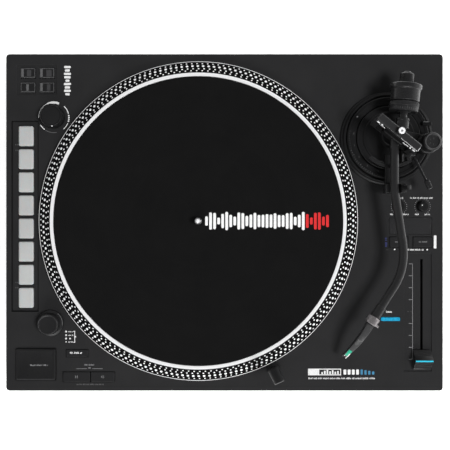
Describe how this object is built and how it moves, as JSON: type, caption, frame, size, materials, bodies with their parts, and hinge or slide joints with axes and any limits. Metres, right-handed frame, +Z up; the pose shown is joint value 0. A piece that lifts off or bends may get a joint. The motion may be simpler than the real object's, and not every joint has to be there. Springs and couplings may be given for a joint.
{
  "type": "turntable record player",
  "caption": "Direct-drive DJ turntable with dotted-rim platter, felt slipmat, S-shaped tonearm, counterweight, performance pads, encoders, start button and long pitch fader.",
  "frame": {"origin": "bottom centre of the whole player, on the surface it stands on", "axes": "+X to the player's right, +Y to its back, +Z up"},
  "size_m": [0.458, 0.353, 0.1555],
  "materials": {
    "case_black": "black powder-coated cast alloy",
    "tray_rubber": "dense moulded rubber",
    "foot_rubber": "damped rubber",
    "platter_alloy": "turned and polished, with a painted dotted rim",
    "mat_felt": "pressed felt",
    "steel": "brushed and plated steel",
    "magnet": "sintered ferrite",
    "board": "printed circuit board",
    "pad_silicone": "translucent grey silicone",
    "black_plastic": "satin moulded plastic",
    "grey_plastic": "satin grey plastic",
    "cartridge_shell": "grey-lacquered shell packed with magnet and coils",
    "blue_lens": "lit blue lens",
    "display_lens": "smoked acrylic",
    "arm_black": "black anodised alloy",
    "weight_metal": "black-lacquered iron"
  },
  "bodies": {
    "chassis": {"bottom_tray": "tray_rubber", "deck_plinth": "case_black", "motor_stator": "board", "spindle_bearing": "steel", "main_board": "board", "power_supply_board": "board", "mains_inlet": "black_plastic", "usb_socket": "steel", "rca_sockets": "black_plastic", "display_window": "display_lens", "arm_base": "arm_black"},
    "platter": {"platter": "platter_alloy", "spindle": "steel", "rotor_magnet": "magnet"},
    "slipmat": {"slipmat": "mat_felt"},
    "foot_front_left": {"foot_front_left": "foot_rubber"},
    "foot_front_right": {"foot_front_right": "foot_rubber"},
    "foot_rear_left": {"foot_rear_left": "foot_rubber"},
    "foot_rear_right": {"foot_rear_right": "foot_rubber"},
    "pad_1": {"pad_1": "pad_silicone"},
    "pad_2": {"pad_2": "pad_silicone"},
    "pad_3": {"pad_3": "pad_silicone"},
    "pad_4": {"pad_4": "pad_silicone"},
    "pad_5": {"pad_5": "pad_silicone"},
    "pad_6": {"pad_6": "pad_silicone"},
    "pad_7": {"pad_7": "pad_silicone"},
    "pad_8": {"pad_8": "pad_silicone"},
    "mode_button_1": {"mode_button_1": "grey_plastic"},
    "mode_button_2": {"mode_button_2": "grey_plastic"},
    "mode_button_3": {"mode_button_3": "grey_plastic"},
    "mode_button_4": {"mode_button_4": "grey_plastic"},
    "start_stop_button": {"start_stop_button": "black_plastic"},
    "reverse_button": {"reverse_button": "black_plastic"},
    "speed_button_33": {"speed_button_33": "black_plastic"},
    "speed_button_45": {"speed_button_45": "black_plastic"},
    "pitch_range_button_1": {"pitch_range_button_1": "black_plastic"},
    "pitch_range_button_2": {"pitch_range_button_2": "black_plastic"},
    "pitch_reset_button": {"pitch_reset_button": "blue_lens"},
    "encoder_knob_upper": {"encoder_knob_upper": "black_plastic"},
    "encoder_knob_lower": {"encoder_knob_lower": "black_plastic"},
    "torque_knob": {"torque_knob": "black_plastic"},
    "brake_knob": {"brake_knob": "black_plastic"},
    "stylus_lamp": {"stylus_lamp": "black_plastic"},
    "pitch_fader": {"pitch_fader": "black_plastic"},
    "power_switch": {"power_switch": "black_plastic"},
    "line_switch": {"line_switch": "black_plastic"},
    "ground_terminal": {"ground_terminal": "steel"},
    "arm_height_ring": {"arm_height_ring": "arm_black"},
    "arm_pillar": {"arm_pillar": "arm_black"},
    "anti_skate_knob": {"anti_skate_knob": "arm_black"},
    "cue_lever": {"cue_lever": "steel"},
    "cue_lift": {"cue_lift": "arm_black"},
    "arm_rest_clip": {"arm_rest_clip": "black_plastic"},
    "gimbal": {"gimbal_yoke": "arm_black"},
    "tonearm": {"tonearm_tube": "arm_black", "cartridge": "cartridge_shell"},
    "head_collar": {"head_collar": "steel"},
    "weight_bush": {"weight_bush": "arm_black"},
    "counterweight": {"counterweight": "weight_metal"},
    "balance_dial": {"balance_dial": "black_plastic"}
  },
  "joints": [
    {"name": "foot_front_left_turn", "type": "hinge", "parent": "chassis", "child": "foot_front_left", "pos_m": [-0.184, -0.134, 0.02], "axis": [0, 0, 1], "continuous": true},
    {"name": "foot_front_right_turn", "type": "hinge", "parent": "chassis", "child": "foot_front_right", "pos_m": [0.184, -0.134, 0.02], "axis": [0, 0, 1], "continuous": true},
    {"name": "foot_rear_left_turn", "type": "hinge", "parent": "chassis", "child": "foot_rear_left", "pos_m": [-0.184, 0.134, 0.02], "axis": [0, 0, 1], "continuous": true},
    {"name": "foot_rear_right_turn", "type": "hinge", "parent": "chassis", "child": "foot_rear_right", "pos_m": [0.184, 0.134, 0.02], "axis": [0, 0, 1], "continuous": true},
    {"name": "platter_spin", "type": "hinge", "parent": "chassis", "child": "platter", "pos_m": [-0.0272, 0.0014, 0.0885], "axis": [0, 0, 1], "continuous": true},
    {"name": "slipmat_slip", "type": "hinge", "parent": "platter", "child": "slipmat", "pos_m": [-0.0272, 0.0014, 0.098], "axis": [0, 0, 1], "continuous": true},
    {"name": "pad_1_press", "type": "slide", "parent": "chassis", "child": "pad_1", "axis": [0, 0, -1], "range_m": [0, 0.0008], "stiffness_N_per_m": 700},
    {"name": "pad_2_press", "type": "slide", "parent": "chassis", "child": "pad_2", "axis": [0, 0, -1], "range_m": [0, 0.0008], "stiffness_N_per_m": 700},
    {"name": "pad_3_press", "type": "slide", "parent": "chassis", "child": "pad_3", "axis": [0, 0, -1], "range_m": [0, 0.0008], "stiffness_N_per_m": 700},
    {"name": "pad_4_press", "type": "slide", "parent": "chassis", "child": "pad_4", "axis": [0, 0, -1], "range_m": [0, 0.0008], "stiffness_N_per_m": 700},
    {"name": "pad_5_press", "type": "slide", "parent": "chassis", "child": "pad_5", "axis": [0, 0, -1], "range_m": [0, 0.0008], "stiffness_N_per_m": 700},
    {"name": "pad_6_press", "type": "slide", "parent": "chassis", "child": "pad_6", "axis": [0, 0, -1], "range_m": [0, 0.0008], "stiffness_N_per_m": 700},
    {"name": "pad_7_press", "type": "slide", "parent": "chassis", "child": "pad_7", "axis": [0, 0, -1], "range_m": [0, 0.0008], "stiffness_N_per_m": 700},
    {"name": "pad_8_press", "type": "slide", "parent": "chassis", "child": "pad_8", "axis": [0, 0, -1], "range_m": [0, 0.0008], "stiffness_N_per_m": 700},
    {"name": "mode_button_1_press", "type": "slide", "parent": "chassis", "child": "mode_button_1", "axis": [0, 0, -1], "range_m": [0, 0.0007], "stiffness_N_per_m": 700},
    {"name": "mode_button_2_press", "type": "slide", "parent": "chassis", "child": "mode_button_2", "axis": [0, 0, -1], "range_m": [0, 0.0007], "stiffness_N_per_m": 700},
    {"name": "mode_button_3_press", "type": "slide", "parent": "chassis", "child": "mode_button_3", "axis": [0, 0, -1], "range_m": [0, 0.0007], "stiffness_N_per_m": 700},
    {"name": "mode_button_4_press", "type": "slide", "parent": "chassis", "child": "mode_button_4", "axis": [0, 0, -1], "range_m": [0, 0.0007], "stiffness_N_per_m": 700},
    {"name": "start_stop_button_press", "type": "slide", "parent": "chassis", "child": "start_stop_button", "axis": [0, 0, -1], "range_m": [0, 0.0009], "stiffness_N_per_m": 700},
    {"name": "reverse_button_press", "type": "slide", "parent": "chassis", "child": "reverse_button", "axis": [0, 0, -1], "range_m": [0, 0.0007], "stiffness_N_per_m": 700},
    {"name": "speed_button_33_press", "type": "slide", "parent": "chassis", "child": "speed_button_33", "axis": [0, 0, -1], "range_m": [0, 0.0007], "stiffness_N_per_m": 700},
    {"name": "speed_button_45_press", "type": "slide", "parent": "chassis", "child": "speed_button_45", "axis": [0, 0, -1], "range_m": [0, 0.0007], "stiffness_N_per_m": 700},
    {"name": "pitch_range_button_1_press", "type": "slide", "parent": "chassis", "child": "pitch_range_button_1", "axis": [0, 0, -1], "range_m": [0, 0.0007], "stiffness_N_per_m": 700},
    {"name": "pitch_range_button_2_press", "type": "slide", "parent": "chassis", "child": "pitch_range_button_2", "axis": [0, 0, -1], "range_m": [0, 0.0007], "stiffness_N_per_m": 700},
    {"name": "pitch_reset_button_press", "type": "slide", "parent": "chassis", "child": "pitch_reset_button", "axis": [0, 0, -1], "range_m": [0, 0.0006], "stiffness_N_per_m": 700},
    {"name": "encoder_knob_upper_turn", "type": "hinge", "parent": "chassis", "child": "encoder_knob_upper", "pos_m": [-0.1788, 0.1099, 0.095], "axis": [0, 0, 1], "continuous": true},
    {"name": "encoder_knob_lower_turn", "type": "hinge", "parent": "chassis", "child": "encoder_knob_lower", "pos_m": [-0.1818, -0.1052, 0.095], "axis": [0, 0, 1], "continuous": true},
    {"name": "torque_knob_turn", "type": "hinge", "parent": "chassis", "child": "torque_knob", "pos_m": [0.1827, 0.0166, 0.095], "axis": [0, 0, 1], "range_deg": [-150, 150]},
    {"name": "brake_knob_turn", "type": "hinge", "parent": "chassis", "child": "brake_knob", "pos_m": [0.2073, 0.0166, 0.095], "axis": [0, 0, 1], "range_deg": [-150, 150]},
    {"name": "stylus_lamp_turn", "type": "hinge", "parent": "chassis", "child": "stylus_lamp", "pos_m": [0.0518, -0.1525, 0.095], "axis": [0, 0, 1], "range_deg": [-70, 70]},
    {"name": "pitch_fader_slide", "type": "slide", "parent": "chassis", "child": "pitch_fader", "axis": [0, 1, 0], "range_m": [0, 0.1004]},
    {"name": "power_switch_rock", "type": "hinge", "parent": "chassis", "child": "power_switch", "pos_m": [0.027, 0.163, 0.0445], "axis": [-1, 0, 0], "range_deg": [0, 10]},
    {"name": "line_switch_slide", "type": "slide", "parent": "chassis", "child": "line_switch", "axis": [1, 0, 0], "range_m": [0, 0.004]},
    {"name": "ground_terminal_turn", "type": "hinge", "parent": "chassis", "child": "ground_terminal", "pos_m": [-0.068, 0.164, 0.0445], "axis": [0, 1, 0], "continuous": true},
    {"name": "arm_height", "type": "slide", "parent": "chassis", "child": "arm_pillar", "axis": [0, 0, 1], "range_m": [0, 0.006]},
    {"name": "height_ring_turn", "type": "hinge", "parent": "chassis", "child": "arm_height_ring", "pos_m": [0.1695, 0.0875, 0.094], "axis": [0, 0, 1], "range_deg": [0, 120]},
    {"name": "anti_skate_turn", "type": "hinge", "parent": "arm_pillar", "child": "anti_skate_knob", "pos_m": [0.2069, 0.0804, 0.118], "axis": [0, 0, 1], "range_deg": [-140, 140]},
    {"name": "cue_lever_raise", "type": "hinge", "parent": "arm_pillar", "child": "cue_lever", "pos_m": [0.1922, 0.07, 0.106], "axis": [-1, 0, 0], "range_deg": [0, 30.2]},
    {"name": "cue_lift_rise", "type": "slide", "parent": "arm_pillar", "child": "cue_lift", "axis": [0, 0, 1], "range_m": [0, 0.005]},
    {"name": "rest_clip_close", "type": "hinge", "parent": "arm_pillar", "child": "arm_rest_clip", "pos_m": [0.1773, 0.034, 0.1277], "axis": [0, -1, 0], "range_deg": [0, 105]},
    {"name": "arm_swing", "type": "hinge", "parent": "arm_pillar", "child": "gimbal", "pos_m": [0.1695, 0.0875, 0.1245], "axis": [0, 0, -1], "range_deg": [0, 42]},
    {"name": "arm_tilt", "type": "hinge", "parent": "gimbal", "child": "tonearm", "pos_m": [0.1695, 0.0875, 0.1245], "axis": [-0.7771, 0.6293, 0], "range_deg": [0, 12]},
    {"name": "head_collar_turn", "type": "hinge", "parent": "tonearm", "child": "head_collar", "pos_m": [0.14767, -0.09778, 0.1245], "axis": [-0.5373, -0.8434, 0], "range_deg": [0, 60]},
    {"name": "weight_travel", "type": "slide", "parent": "tonearm", "child": "weight_bush", "axis": [0.1045, 0.9945, 0], "range_m": [-0.004, 0.004]},
    {"name": "counterweight_turn", "type": "hinge", "parent": "weight_bush", "child": "counterweight", "pos_m": [0.176, 0.0875, 0.1245], "axis": [0.1045, 0.9945, 0], "range_deg": [-720.5, 720.5]},
    {"name": "balance_dial_turn", "type": "hinge", "parent": "weight_bush", "child": "balance_dial", "pos_m": [0.176, 0.0875, 0.1245], "axis": [0.1045, 0.9945, 0], "continuous": true}
  ],
  "couplings": [
    {"joint": "height_ring_turn", "follows": "arm_height", "rad_per_m": 348},
    {"joint": "cue_lever_raise", "follows": "cue_lift_rise", "rad_per_m": 105.26},
    {"joint": "counterweight_turn", "follows": "weight_travel", "rad_per_m": 3141.6}
  ]
}
